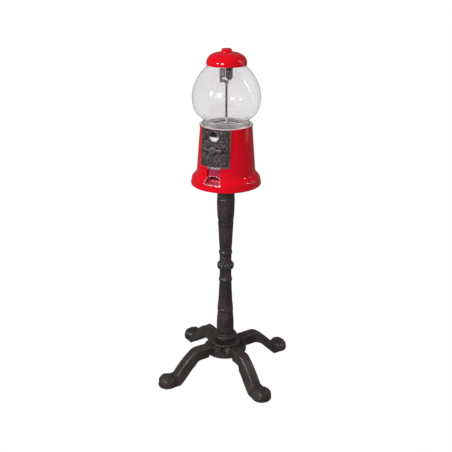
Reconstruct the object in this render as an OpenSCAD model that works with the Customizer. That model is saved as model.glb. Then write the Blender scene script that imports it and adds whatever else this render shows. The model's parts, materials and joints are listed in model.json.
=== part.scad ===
// Gumball machine on a cast-iron pedestal stand.
// Origin on the floor under the column's axis, +Z up, and the coin mechanism faces -Y.

/* [Machine] */
// Floor to the underside of the machine's base plate
machine_z = 582; // [560:1:600]
// Radius of the skirt at the foot of the body
skirt_r = 95.2; // [92:0.1:98]
// Radius of the body's cone just above the skirt
cone_r_low = 79.4; // [78:0.1:81]
// Radius of the body's cone at its top
cone_r_high = 69.3; // [69:0.1:70.5]
// Thickness of the body's casting
body_wall = 3; // [2.5:0.1:3.2]

/* [Globe and lid] */
// Largest radius of the glass globe
globe_r = 90.25; // [88:0.25:94]
// Thickness of the glass
glass = 3; // [2:0.5:4]
// Radius of the lid at its rim
lid_r = 52.6; // [52:0.1:54]
// Height of the lid's dome
lid_h = 35; // [34:1:38]

/* [Coin mechanism] */
// Height of the handle's shaft above the machine's base
shaft_h = 110.5; // [110:0.5:111]
// Height of the coin hole's centre above the shaft
coin_hole_h = 34; // [33:1:35]
// Half the width of the faceplate
plate_half_w = 41; // [41:0.5:44]
// Teeth of the ratchet wheel
ratchet_teeth = 12; // [12:4:16]

/* [Stand] */
// Angle from the front to the first leg
first_leg_angle = 57; // [45:0.5:60]
// Distance from the column's axis to the middle of a foot
foot_at = 194; // [190:0.5:198]
// Radius of a foot
foot_r = 28; // [26:0.5:29]
// Height of a foot
foot_h = 29.5; // [28:0.5:31]
// Width of a leg at the hub
leg_w = 33; // [30:1:35]
// Width of a leg on its slope
slope_w = 40; // [36:1:44]
// Radius of the hub's bottom disc
disc_r = 62.9; // [60:0.1:66]
// Radius of the tie rod
rod_r = 5; // [4:0.5:5]

/* [Hidden] */
$fn = 96;
gap = 0.3;
fit = 0.05;
flat = 0.02;

// Heights of the machine, from the base up
base_t = 3.5;
skirt_top_z = machine_z + 33;
cone_top_z = machine_z + 158;
rim_z = machine_z + 163;
rim_r = 70.9;
ledge_z = machine_z + 155;
ledge_t = 3;
ledge_r = 57;
gasket_t = 2;
shaft_z = machine_z + shaft_h;
coin_z = shaft_z + coin_hole_h;
neck_r = 60.7;
neck_z = ledge_z + ledge_t + gasket_t;
belly_z = machine_z + 233;
mouth_z = machine_z + 313;
mouth_r = 46;
lid_gasket_t = 1;
lid_z = mouth_z + lid_gasket_t + gap;
boss_z = lid_z + lid_h - 0.7;
boss_h = 8.6;
boss_r = 13.5;

// The lock hangs beside the axis, and its bracket stands on the other side of it
lock_angle = 25;
lock_x = 7;
barrel_r = 9.5;
plug_r = 5;
barrel_z = machine_z + 282;

// Depths of the coin mechanism, measured along Y
coin_wheel_y = -52;
coin_wheel_t = 5;
coin_wheel_r = 39;
ratchet_t = 2.4;
mech_plate_y = -43.8;
mech_plate_t = 2.4;
pinion_y = -36.9;
pinion_t = 4;
shaft_r = 4;
post_x = 35;
post_low_z = shaft_z - 35.5;
post_high_z = shaft_z + 35.5;
plate_low_z = machine_z + 63;
plate_high_z = rim_z - 0.3;
plate_border = 3;
plate_back = 2.1;
plate_face = 4;
pivot_x = 29;
pivot_z = shaft_z + 2;
pawl_y = mech_plate_y - 2.1;
pawl_t = 1.8;
pawl_tip = [14.4, 15.4];

// Gumball wheel and its pan. A turn of the handle moves the wheel on by one pocket.
pockets = 4;
pinion_teeth = 6;
pan_r = 41;
pan_wall = 2;
pan_floor_z = shaft_z + 5.5;
pan_floor_t = 2.5;
pan_flange_t = 3;
wheel_r = 38.3;
wheel_z = pan_floor_z + pan_floor_t + 0.5;
wheel_h = 13;
pocket_at = 20.5;
pocket_r = 10.2;
pin_at = 35.5;
pin_r = 1.3;
center_rod_r = 2.9;
rod_top_z = machine_z + 274.5;
lid_wall = 2.5;
lid_power = 2.8;

// Chute and its opening
door_z = machine_z + 55;
door_y = -71;
door_w = 34;
opening_w = 38;
tray_z = machine_z + 18;
chute_floor_y = [-4, -66];
chute_floor_z = [machine_z + 66, machine_z + 24];

// Stand
disc_z = 60;
disc_t = 6;
flange_z = 84;
flange_t = 8;
hub_top_z = 126;
collar_z = 296;
collar_top_z = 348;
column_top_z = machine_z - 22;
plate_t = 8;
heel_at = 166;
slope_from = 104;
bolt_at = 36;

function cone_r(z) = cone_r_low + (cone_r_high - cone_r_low) * (z - skirt_top_z) / (cone_top_z - skirt_top_z);
function bezier(a, b, c, d, t) =
    a * pow(1 - t, 3) + 3 * b * t * pow(1 - t, 2) + 3 * c * pow(t, 2) * (1 - t) + d * pow(t, 3);
function curve(a, b, c, d, steps) = [for (i = [0:steps]) bezier(a, b, c, d, i / steps)];
// Radius of the globe's outside at a height above or below its belly
function globe_side(h) = h > 0
    ? globe_r * pow(1 - pow(h / 101.5, 1.8), 1 / 1.8)
    : globe_r * pow(1 - pow(-h / 67, 2.5), 1 / 2.5);
// Height of a dome at a radius, as a part of its full height
function dome(r, full_r, power) = pow(1 - pow(r / full_r, power), 1 / power);

module ring(z, height, inner, outer) {
    translate([0, 0, z]) difference() {
        cylinder(h = height, r = outer);
        translate([0, 0, -1]) cylinder(h = height + 2, r = inner);
    }
}

module hex(z, height, across) {
    translate([0, 0, z]) cylinder(h = height, d = across / cos(30), $fn = 6);
}

// A hexagonal nut with a round hole
module nut(z, height, across, hole_r) {
    difference() {
        hex(z, height, across);
        translate([0, 0, z - 1]) cylinder(h = height + 2, r = hole_r);
    }
}

// A cylinder that runs backward from y, at x and z
module along_y(x, y, z, length, r) {
    translate([x, y, z]) rotate([-90, 0, 0]) cylinder(h = length, r = r);
}

// ---- Stand ----

module hub() {
    color("#3a332f") rotate_extrude() polygon(concat(
        [[rod_r + gap, disc_z + disc_t], [20, disc_z + disc_t], [20, flange_z]],
        [[42.6, flange_z], [43.8, flange_z + 2], [43.8, flange_z + 6], [42, flange_z + flange_t]],
        curve([34, 92.5], [22, 93.5], [20, 96], [22, 101], 6),
        curve([31, 102.5], [36, 104], [36, 111], [31, 113], 6),
        curve([26, 114.5], [24, 117], [24, 121], [25, hub_top_z], 5),
        [[rod_r + gap, hub_top_z]]
    ));
}

module hub_disc() {
    color("#3a332f") difference() {
        rotate_extrude() polygon([
            [rod_r + gap, disc_z], [disc_r - 1.5, disc_z], [disc_r, disc_z + 1.5], [disc_r, disc_z + disc_t],
            [rod_r + gap, disc_z + disc_t]
        ]);
        at_legs() translate([0, -bolt_at, disc_z - 1]) cylinder(h = disc_t + 2, r = 4.2);
    }
}

module at_legs() {
    for (turn = [0:90:270]) rotate([0, 0, first_leg_angle + turn]) children();
}

// Outline of a leg from the side: distance from the axis, and height
function leg_side() = concat(
    [[20.6, disc_z + disc_t + flat], [20.6, flange_z - flat], [44.6, flange_z - flat], [44.8, 87]],
    curve([52, 89.5], [60, 91], [64, 91], [70, 91], 4),
    curve([96, 91], [112, 85], [138, 69], [168, foot_h - 1.5], 12),
    [[foot_at, foot_h - 1.5], [foot_at, 0]],
    curve([heel_at, 0], [138, 21.5], [122, 56], [98, 56], 10),
    [[disc_r + 2.5, 56], [disc_r + 0.6, 58], [disc_r + 0.6, disc_z + disc_t + flat]]
);

module leg_plate(width) {
    translate([-width / 2, 0, 0]) rotate([90, 0, 90]) linear_extrude(width)
        polygon([for (p = leg_side()) [-p.x, p.y]]);
}

module leg() {
    color("#3a332f") difference() {
        union() {
            leg_plate(leg_w);
            intersection() {
                leg_plate(slope_w);
                translate([-slope_w, -foot_at, 0]) cube([2 * slope_w, foot_at - slope_from, hub_top_z]);
            }
            translate([0, -foot_at, 0]) foot();
        }
        translate([0, -bolt_at, disc_z]) cylinder(h = flange_z - disc_z + 2, r = 4.2);
    }
}

// A domed pad at the leg's end, flat on the floor
module foot() {
    rotate_extrude() polygon(concat(
        [[0, 0], [foot_r - 2, 0], [foot_r, 2.5]],
        curve([foot_r, 5], [foot_r, 15], [foot_r - 4, foot_h - 3.5], [foot_r - 16, foot_h - 0.8], 10),
        [[0, foot_h]]
    ));
}

module leg_at(turn) {
    rotate([0, 0, first_leg_angle + turn]) leg();
}

module leg_bolts() {
    color("#55504c") at_legs() translate([0, -bolt_at, 0]) {
        hex(disc_z - 5.5, 5.5 - flat, 13);
        translate([0, 0, disc_z - 1]) cylinder(h = flange_z - disc_z + 0.8, r = 4);
    }
}

module lower_column() {
    color("#3a332f") rotate_extrude() polygon(concat(
        [[rod_r + gap, hub_top_z + flat], [25, hub_top_z + flat]],
        curve([25, 140], [24.8, 160], [24, 172], [22.3, 188], 8),
        [[22.8, 190], [22.8, 197]],
        curve([22.2, 199], [20.6, 214], [19.4, 240], [17.4, 284], 10),
        [[19.1, 286], [19.1, 293], [17.4, 295], [17.4, collar_z], [rod_r + gap, collar_z]]
    ));
}

module middle_collar() {
    color("#3a332f") rotate_extrude() polygon(concat(
        [[rod_r + gap, collar_z + flat], [17.3, collar_z + flat], [17.3, 320]],
        [for (a = [-64:8:64]) [11 + 13.6 * cos(a), 333.5 + 13 * sin(a)]],
        [[17.3, 347], [17.3, collar_top_z], [rod_r + gap, collar_top_z]]
    ));
}

module upper_column() {
    color("#3a332f") rotate_extrude() polygon(concat(
        [[rod_r + gap, collar_top_z + flat], [17.1, collar_top_z + flat], [17.1, 370]],
        [[19.1, 372], [19.1, 377.5], [17.1, 380]],
        curve([17.2, 382], [19.3, 405], [20, 440], [22.4, 470], 10),
        curve([23, 484], [24.2, 505], [24.8, 520], [24.6, 538], 6),
        curve([24.1, 542], [24.1, 548], [24.8, 552], [24.8, column_top_z], 3),
        [[rod_r + gap, column_top_z]]
    ));
}

module stand_top_plate() {
    color("#3a332f") difference() {
        rotate_extrude() polygon([
            [rod_r + gap, column_top_z + flat], [24.8, column_top_z + flat], [24.8, machine_z - plate_t - 3],
            [28, machine_z - plate_t], [68.5, machine_z - plate_t], [70, machine_z - plate_t + 1.5],
            [70, machine_z], [rod_r + gap, machine_z]
        ]);
        at_bolts() translate([0, 0, machine_z - plate_t - 1]) cylinder(h = plate_t + 2, r = 3.2);
    }
}

module at_bolts() {
    for (turn = [60:120:300]) rotate([0, 0, turn]) translate([0, -55, 0]) children();
}

module tie_rod() {
    color("#77736e") translate([0, 0, disc_z - 12]) cylinder(h = machine_z - disc_z + 25, r = rod_r);
}

module tie_rod_nuts() {
    color("#77736e") {
        ring(disc_z - 2, 2 - flat, rod_r + fit, 11);
        nut(disc_z - 10, 8 - flat, 17, rod_r + fit);
        ring(machine_z + flat, 2 - flat, rod_r + fit, 11);
        nut(machine_z + 2 + flat, 8, 17, rod_r + fit);
    }
}

// ---- Body ----

module base_plate() {
    color("#8d9093") difference() {
        translate([0, 0, machine_z + flat]) cylinder(h = base_t, r = skirt_r - body_wall - gap);
        translate([0, 0, machine_z - 1]) cylinder(h = base_t + 3, r = 20);
        at_bolts() translate([0, 0, machine_z - 1]) cylinder(h = base_t + 3, r = 3.2);
        at_lugs() translate([0, 0, machine_z - 1]) cylinder(h = base_t + 3, r = 2.2);
    }
}

module at_lugs() {
    for (turn = [45:90:315]) rotate([0, 0, turn]) translate([0, -81, 0]) children();
}

module base_screws() {
    color("#8d9093") at_lugs() translate([0, 0, machine_z - 2.2]) {
        cylinder(h = 2.2, r = 4);
        cylinder(h = 13, r = 2);
    }
}

module machine_bolts() {
    color("#8d9093") at_bolts() {
        hex(machine_z - plate_t - 4 - flat, 4, 10);
        translate([0, 0, machine_z - plate_t - 1]) cylinder(h = plate_t + base_t + 8, r = 3);
    }
}

module machine_nuts() {
    color("#8d9093") at_bolts() nut(machine_z + base_t + 2 * flat, 5, 10, 3 + fit);
}

// Outside of the body, from its foot to the top of its rim
function body_outline() = concat(
    [[skirt_r, machine_z], [skirt_r, machine_z + 4], [skirt_r - 0.9, machine_z + 5]],
    [[skirt_r - 1.2, machine_z + 9], [skirt_r - 2.2, machine_z + 10]],
    curve([skirt_r - 2.6, machine_z + 16], [skirt_r - 4, machine_z + 22], [cone_r_low + 5, machine_z + 26],
        [cone_r_low, skirt_top_z], 8),
    [[cone_r_high, cone_top_z], [rim_r, cone_top_z + 1], [rim_r, rim_z - 1], [rim_r - 1, rim_z]]
);

module body_solid() {
    rotate_extrude() polygon(concat([[0, machine_z]], body_outline(), [[0, rim_z]]));
}

module body_shell() {
    color("#d3001b") difference() {
        union() {
            difference() {
                body_solid();
                rotate_extrude() polygon(concat(
                    [[0, machine_z - 1], [skirt_r - body_wall, machine_z - 1]],
                    [[skirt_r - body_wall, machine_z + 9], [skirt_r - body_wall - 2, machine_z + 12]],
                    [[cone_r_low - body_wall + 3, machine_z + 26], [cone_r_low - body_wall, skirt_top_z]],
                    [[cone_r(ledge_z) - body_wall, ledge_z], [0, ledge_z]]
                ));
            }
            at_lugs() translate([0, 0, machine_z + base_t + 3 * flat]) cylinder(h = 24, r = 5);
            door_ears();
        }
        translate([0, 0, ledge_z - 1]) cylinder(h = 20, r = ledge_r);
        translate([0, 0, ledge_z + ledge_t]) cylinder(h = 20, r = neck_r + 1);
        translate([0, 0, rim_z - 3]) cylinder(h = 20, r = rim_r - 4);
        at_lugs() translate([0, 0, machine_z]) cylinder(h = 11, r = 2 + fit);
        mechanism_opening();
        chute_opening(-50, 0);
        coin_opening();
        translate([-30, door_y, door_z]) rotate([0, 90, 0]) cylinder(h = 60, r = 1.5 + fit);
    }
}

module mechanism_opening() {
    translate([-39.5, -100, shaft_z - 42]) cube([79, 55, 83]);
}

// A block from the front of the body to y, with the outline of the chute's opening less a margin
module chute_opening(y, margin) {
    top = door_z + 4 - margin;
    low = tray_z - 1.5 + margin;
    side = opening_w / 2 - margin;
    translate([0, -120, 0]) rotate([90, 0, 0]) mirror([0, 0, 1]) linear_extrude(120 + y) polygon([
        [-side, top], [side, top], [side, tray_z + 14], [side + 3, tray_z + 3],
        [side + 3, low], [-side - 3, low], [-side - 3, tray_z + 3], [-side, tray_z + 14]
    ]);
}

// Ears inside the body that hold the door's pin
module door_ears() {
    for (side = [-1, 1])
        translate([side * 21.4 - 2, door_y, door_z]) rotate([0, 90, 0]) cylinder(h = 4, r = 3.6);
}

// The hole in the body's wall behind the coin hole
module coin_opening() {
    along_y(0, -100, coin_z, 36.3, 13.3);
}

// ---- Coin mechanism ----

// A front part of a shell around the cone, between two heights, two offsets and two upright edges
module cone_patch(low, high, inner, outer, half_w) {
    intersection() {
        rotate_extrude() polygon([
            [cone_r(low) + inner, low], [cone_r(low) + outer, low],
            [cone_r(high) + outer, high], [cone_r(high) + inner, high]
        ]);
        translate([-half_w, -120, low - 1]) cube([2 * half_w, 120, high - low + 2]);
    }
}

module faceplate() {
    color("#2b2726") difference() {
        union() {
            cone_patch(plate_low_z, plate_high_z, plate_back, plate_face, plate_half_w);
            difference() {
                cone_patch(plate_low_z, cone_top_z, 0.1, plate_face, plate_half_w);
                cone_patch(plate_low_z + plate_border, cone_top_z + 1, 0, plate_back + 0.1,
                    plate_half_w - plate_border);
            }
            along_y(0, -cone_r(shaft_z) - plate_face - 3, shaft_z, 12, 9.5);
            for (x = [-post_x, post_x]) {
                plate_post(x, post_low_z);
                plate_post(x, post_high_z);
            }
        }
        along_y(0, -100, shaft_z, 60, shaft_r + fit);
        along_y(0, -100, coin_z, 60, 13);
        for (x = [-post_x, post_x])
            for (z = [post_low_z, post_high_z])
                along_y(x, mech_plate_y - 10, z, 20, 1.5 + fit);
    }
}

// A post that runs from the back of the faceplate to the mechanism's plate
module plate_post(x, z) {
    front_y = -sqrt(pow(cone_r(z) + plate_back, 2) - x * x) - 0.4;
    along_y(x, front_y, z, mech_plate_y - front_y - flat, 3.6);
}

// A bright sleeve in the coin hole: its lip closes the lower half, and its floor runs back to the wheel
module coin_seat() {
    front_y = -cone_r(coin_z) - plate_face + 1.6;
    sleeve = -64.4 - front_y;
    color("#e3e3e3") difference() {
        union() {
            along_y(0, front_y, coin_z, sleeve, 13 - fit);
            difference() {
                along_y(0, front_y, coin_z, coin_wheel_y - 0.6 - front_y, 13 - fit);
                translate([-20, front_y - 1, coin_z + 5]) cube([40, 40, 20]);
            }
        }
        along_y(0, front_y + 2, coin_z, 60, 11.8);
        translate([-20, front_y - 1, coin_z - 2.4]) cube([40, 4, 20]);
    }
}

module mech_plate() {
    color("#9a9c9e") difference() {
        translate([-41, mech_plate_y, post_low_z - 6]) cube([82, mech_plate_t, 82]);
        along_y(0, -60, shaft_z, 40, shaft_r + fit);
        for (x = [-post_x, post_x])
            for (z = [post_low_z, post_high_z]) along_y(x, -60, z, 40, 1.7);
        along_y(pivot_x, -60, pivot_z, 40, 1.7);
        translate([-21, -60, pan_floor_z + 12]) cube([42, 40, 40]);
    }
}

module mech_screws() {
    color("#9a9c9e") for (x = [-post_x, post_x]) for (z = [post_low_z, post_high_z]) {
        along_y(x, mech_plate_y - 7, z, 7 + mech_plate_t + 1, 1.5);
        along_y(x, mech_plate_y + mech_plate_t + flat, z, 2, 3);
    }
}

// The pawl swings on a pin beside the ratchet wheel and reaches over its rim

module pawl_pivot() {
    color("#9a9c9e") along_y(pivot_x, pawl_y - 0.6, pivot_z, 5.2, 1.7 - fit);
}

module pawl() {
    color("#8d9093") translate([0, pawl_y, shaft_z]) rotate([90, 0, 0]) translate([0, 0, -pawl_t])
        linear_extrude(pawl_t) difference() {
            union() {
                translate([pivot_x, pivot_z - shaft_z]) circle(r = 4);
                polygon([
                    [pivot_x - 3, pivot_z - shaft_z + 1], [pivot_x + 2.5, pivot_z - shaft_z + 2.8],
                    pawl_tip + [4.8, 2.8], pawl_tip + [-0.6, 0.8], pawl_tip, pawl_tip + [3.6, 0.8]
                ]);
            }
            translate([pivot_x, pivot_z - shaft_z]) circle(r = 1.7);
        }
}

module pawl_spring() {
    color("#c9c9c9") translate([0, pawl_y, shaft_z]) rotate([90, 0, 0]) translate([0, 0, -2.1 + flat])
        linear_extrude(1.8) {
            polygon([[17.2, 20.3], [33, 13.6], [33.5, 14.4], [17.5, 21.1]]);
            translate([34.5, 14.4]) circle(r = 1.6);
        }
}

module handle() {
    y = -cone_r(shaft_z) - plate_face - 3 - gap;
    color("#232020") difference() {
        union() {
            along_y(0, y - 9.5, shaft_z, 9.5, 9);
            translate([0, y - 8.5, shaft_z]) rotate([-90, 0, 0]) linear_extrude(7) handle_outline();
        }
        along_y(0, y - 6, shaft_z, 20, shaft_r + fit);
    }
}

// Two wings that widen toward rounded tips
module handle_outline() {
    for (side = [-1, 1]) mirror([side < 0 ? 1 : 0, 0]) {
        polygon(concat(
            curve([0, -8], [8, -6], [12, -4], [20, -6.4], 6),
            curve([20, 6.4], [12, 4], [8, 6], [0, 8], 6)
        ));
        translate([21, 0]) circle(r = 6.5);
    }
}

module drive_shaft() {
    front_y = -cone_r(shaft_z) - plate_face - 3 - gap - 5.8;
    color("#b9bbbd") along_y(0, front_y, shaft_z, pinion_y + pinion_t - front_y, shaft_r);
}

module coin_wheel() {
    color("#c9cacc") difference() {
        along_y(0, coin_wheel_y, shaft_z, coin_wheel_t, coin_wheel_r);
        along_y(0, coin_wheel_y - 1, shaft_z, coin_wheel_t + 2, shaft_r + fit);
        along_y(0, coin_wheel_y - 1, coin_z, coin_wheel_t + 2, 12.4);
    }
}

module ratchet_wheel() {
    step = 360 / ratchet_teeth;
    color("#8d9093") translate([0, coin_wheel_y + coin_wheel_t + flat, shaft_z]) rotate([-90, 0, 0])
        linear_extrude(ratchet_t - 0.2) difference() {
            polygon([for (i = [0:ratchet_teeth - 1], corner = [0, 1])
                (corner == 0 ? 20 : 16.2)
                    * [cos(i * step + corner * 3 - 37), sin(i * step + corner * 3 - 37)]]);
            circle(r = shaft_r + fit);
        }
}

module drive_pinion() {
    color("#9a9c9e") translate([0, pinion_y, shaft_z]) rotate([-90, 0, 0]) linear_extrude(pinion_t)
        difference() {
            union() {
                circle(r = 7);
                for (i = [0:pinion_teeth - 1])
                    rotate(i * 360 / pinion_teeth) translate([-1.5, -11.5]) square([3, 8]);
            }
            circle(r = shaft_r + fit);
        }
}

// ---- Hopper ----

module hopper_pan() {
    color("#a7a9ab") difference() {
        rotate_extrude() polygon([
            [center_rod_r + fit, pan_floor_z], [pan_r, pan_floor_z], [pan_r, ledge_z - pan_flange_t - flat],
            [63, ledge_z - pan_flange_t - flat], [63, ledge_z - flat], [pan_r + 1, ledge_z - flat],
            [pan_r - pan_wall, ledge_z - pan_flange_t], [pan_r - pan_wall, pan_floor_z + pan_floor_t],
            [center_rod_r + fit, pan_floor_z + pan_floor_t]
        ]);
        translate([0, -pocket_at, pan_floor_z - 1]) cylinder(h = 6, r = pocket_r + 0.2);
        translate([-11.5, pinion_y - 0.3, pan_floor_z - 1]) cube([23, pinion_t + 0.8, 6]);
        at_pan_screws() translate([0, 0, ledge_z - 10]) cylinder(h = 20, r = 1.7);
    }
}

module at_pan_screws() {
    for (turn = [60:120:300]) rotate([0, 0, turn]) translate([0, -60, 0]) children();
}

module pan_screws() {
    color("#8d9093") at_pan_screws() {
        translate([0, 0, ledge_z - pan_flange_t - 2.1]) cylinder(h = 2, r = 2.8);
        translate([0, 0, ledge_z - pan_flange_t - 1]) cylinder(h = 3.9, r = 1.6);
    }
}

module gumball_wheel() {
    pins = pockets * pinion_teeth;
    color("#e9e7e2") union() {
        difference() {
            rotate_extrude() polygon([
                [center_rod_r + 0.1, wheel_z], [31.5, wheel_z], [31.5, wheel_z + 4.5],
                [wheel_r, wheel_z + 4.5], [wheel_r, wheel_z + wheel_h],
                [center_rod_r + 0.1, wheel_z + wheel_h]
            ]);
            for (i = [0:pockets - 1])
                rotate([0, 0, i * 360 / pockets]) translate([0, -pocket_at, wheel_z - 1])
                    cylinder(h = wheel_h + 2, r = pocket_r);
        }
        for (i = [0:pins - 1])
            rotate([0, 0, (i + 0.5) * 360 / pins]) translate([0, -pin_at, wheel_z])
                cylinder(h = 5, r = pin_r);
    }
}

// A plate over the exit, so that only the gumball already in the pocket drops
module ball_guard() {
    z = wheel_z + wheel_h + 0.8;
    color("#c9cacc") difference() {
        intersection() {
            translate([0, 0, z]) cylinder(h = 1.2, r = pan_r - pan_wall - fit);
            union() {
                translate([0, -pocket_at, z]) cylinder(h = 1.2, r = 12.5);
                translate([-12.5, -pan_r, z]) cube([25, pan_r - pocket_at, 1.2]);
            }
        }
        translate([0, 0, z - 1]) cylinder(h = 4, r = 8);
    }
}

// ---- Chute ----

module chute() {
    color("#a7a9ab") {
        difference() {
            translate([0, -pocket_at, machine_z + 72])
                cylinder(h = pan_floor_z - flat - machine_z - 72, r = pocket_r + 1.4);
            translate([0, -pocket_at, machine_z + 60]) cylinder(h = 60, r = pocket_r);
        }
        difference() {
            chute_trough(-17, 34, 0, 16);
            chute_trough(-15.5, 31, 1.6, 30);
        }
        chute_web();
    }
}

// A sloping block, from its floor's height to a height above it
module chute_trough(x, width, low, high) {
    translate([x, 0, 0]) rotate([90, 0, 90]) linear_extrude(width) polygon([
        [chute_floor_y[0], chute_floor_z[0] + low], [chute_floor_y[1], chute_floor_z[1] + low],
        [chute_floor_y[1], chute_floor_z[1] + high], [chute_floor_y[0], chute_floor_z[0] + high]
    ]);
}

// Joins the drop tube to the trough's sides
module chute_web() {
    for (x = [-17, 15.5]) translate([x, -pocket_at - 6, machine_z + 62]) cube([1.5, 12, 18]);
    translate([-17, -pocket_at - 1, machine_z + 76]) cube([34, 2, 4]);
}

module tray() {
    color("#d3001b") difference() {
        intersection() {
            chute_opening(-62, flat);
            body_solid();
            translate([-50, -120, 0]) cube([100, 100, tray_z + 17]);
        }
        translate([0, 0, 1.6]) intersection() {
            chute_opening(-64, 1.8);
            translate([-50, -120, 0]) cube([100, 100, machine_z + 60]);
        }
        translate([-opening_w / 2 + 2, -69.5, chute_floor_z[1] - 0.5]) cube([opening_w - 4, 30, 40]);
    }
}

module chute_door() {
    color("#d3001b") difference() {
        union() {
            translate([-door_w / 2, door_y - 0.8, door_z - 24]) cube([door_w, 1.6, 24]);
            translate([-door_w / 2, door_y, door_z]) rotate([0, 90, 0]) cylinder(h = door_w, r = 2.6);
        }
        translate([-door_w, door_y, door_z]) rotate([0, 90, 0]) cylinder(h = 2 * door_w, r = 1.5 + fit);
    }
}

module door_pin() {
    length = opening_w + 4;
    color("#8d9093")
        translate([-length / 2, door_y, door_z]) rotate([0, 90, 0]) cylinder(h = length, r = 1.5);
}

// ---- Globe and centre rod ----

module globe_gasket() {
    color("#222222") ring(ledge_z + ledge_t + flat, gasket_t - 2 * flat, ledge_r + 0.4, neck_r);
}

function globe_outline(inset) = concat(
    [[neck_r - inset, neck_z], [neck_r - inset, belly_z - 56]],
    [for (h = [-55:5:75]) [globe_side(h) - inset, belly_z + h]],
    [[globe_side(mouth_z - belly_z) - inset, mouth_z]]
);

module globe() {
    color([0.85, 0.9, 0.92, 0.35]) rotate_extrude() polygon(concat(
        [[mouth_r, mouth_z]],
        [for (h = [75:-5:-55]) [max(mouth_r, globe_side(h) - glass), belly_z + h]],
        [[neck_r - glass, belly_z - 56], [neck_r - glass, neck_z]],
        globe_outline(0)
    ));
}

module center_rod() {
    color("#b9bbbd") translate([0, 0, pan_floor_z - 12])
        cylinder(h = rod_top_z - pan_floor_z + 12, r = center_rod_r);
}

module rod_sleeve() {
    low = wheel_z + wheel_h + 3;
    color("#e3e3e3") difference() {
        translate([0, 0, low]) cylinder(h = 46, r1 = 5.6, r2 = center_rod_r + 0.8);
        translate([0, 0, low - 1]) cylinder(h = 60, r = center_rod_r + fit);
    }
}

module rod_nuts() {
    color("#9a9c9e") {
        nut(pan_floor_z - 5.5 - flat, 5.5, 10, center_rod_r + fit);
        nut(rod_top_z - 3 - 5 - flat, 5, 10, center_rod_r + fit);
    }
}

// The bracket stands on the rod's top, and the lock's cam swings into the notch in its edge
module lock_bracket() {
    color("#85858a") rotate([0, 0, lock_angle]) difference() {
        union() {
            translate([-18, -7, rod_top_z - 3]) cube([23.4, 14, 3]);
            translate([-18, -1.5, rod_top_z - 3]) cube([14.8, 3, 39]);
        }
        translate([0, 0, rod_top_z - 10]) cylinder(h = 20, r = center_rod_r + fit);
        translate([-11.8, -5, barrel_z - 4.5]) cube([12, 10, 5.3]);
    }
}

// ---- Lid and lock ----

module lid_gasket() {
    color("#222222") ring(mouth_z + flat, lid_gasket_t - flat, mouth_r, mouth_r + 5);
}

function lid_outline(r, h) = [for (a = [0:6:90])
    let (s = sin(a)) [r * pow(cos(a), 2 / lid_power), lid_z + h * pow(s, 2 / lid_power)]];

module lid() {
    color("#d3001b") difference() {
        union() {
            difference() {
                rotate_extrude() polygon(concat([[0, lid_z]], lid_outline(lid_r, lid_h)));
                translate([0, 0, -1]) rotate_extrude()
                    polygon(concat([[0, lid_z]], lid_outline(lid_r - lid_wall, lid_h - lid_wall)));
            }
            translate([0, 0, boss_z - 10.4]) cylinder(h = 8, r = 18);
        }
        translate([0, 0, boss_z]) cylinder(h = 10, r = lid_r);
        at_lock() translate([0, 0, lid_z]) cylinder(h = 50, r = barrel_r + fit);
    }
}

module at_lock() {
    rotate([0, 0, lock_angle]) translate([lock_x, 0, 0]) children();
}

module lid_boss() {
    top = boss_z + boss_h;
    color("#d3001b") difference() {
        rotate_extrude() polygon(concat(
            [[0, boss_z + flat], [boss_r, boss_z + flat]],
            curve([boss_r, boss_z + 4], [boss_r, top - 1.2], [boss_r - 1.6, top], [9.4, top], 6),
            [[0, top]]
        ));
        at_lock() translate([0, 0, boss_z - 1]) cylinder(h = 20, r = plug_r + fit);
    }
}

module lock_barrel() {
    color("#4a4a4d") at_lock() difference() {
        rotate_extrude() polygon(concat(
            [[0, barrel_z]],
            curve([6.5, barrel_z], [8.6, barrel_z + 0.4], [9.4, barrel_z + 2], [barrel_r, barrel_z + 5], 5),
            [for (i = [0:7]) each [
                [barrel_r, barrel_z + 6 + 3 * i], [barrel_r - 0.6, barrel_z + 7 + 3 * i],
                [barrel_r - 0.6, barrel_z + 8 + 3 * i]]],
            [[barrel_r, barrel_z + 30], [barrel_r, boss_z], [0, boss_z]]
        ));
        translate([0, 0, barrel_z - 1]) cylinder(h = 100, r = plug_r + fit);
    }
}

module lock_nut() {
    color("#8d9093") at_lock() nut(boss_z - 10.4 - 5 - flat, 5, 23, barrel_r + fit);
}

module lock_plug() {
    low = barrel_z - 0.4;
    color("#b9bbbd") at_lock() difference() {
        translate([0, 0, low]) cylinder(h = boss_z + boss_h - 0.4 - low, r = plug_r);
        translate([-0.7, -3.4, boss_z + boss_h - 8]) cube([1.4, 6.8, 10]);
    }
}

module lock_cam() {
    color("#9a9c9e") at_lock() difference() {
        union() {
            translate([0, 0, barrel_z - 3.4 - flat]) cylinder(h = 3, r = 7);
            translate([-4, -17, barrel_z - 3.4 - flat]) cube([8, 17, 3]);
        }
        translate([0, 0, barrel_z - 10]) cylinder(h = 20, r = 2 + fit);
    }
}

module cam_screw() {
    color("#b9bbbd") at_lock() {
        translate([0, 0, barrel_z - 3.4 - 2 * flat - 2.6]) cylinder(h = 2.6, r = 4);
        translate([0, 0, barrel_z - 5]) cylinder(h = 4.5, r = 2);
    }
}

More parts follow.
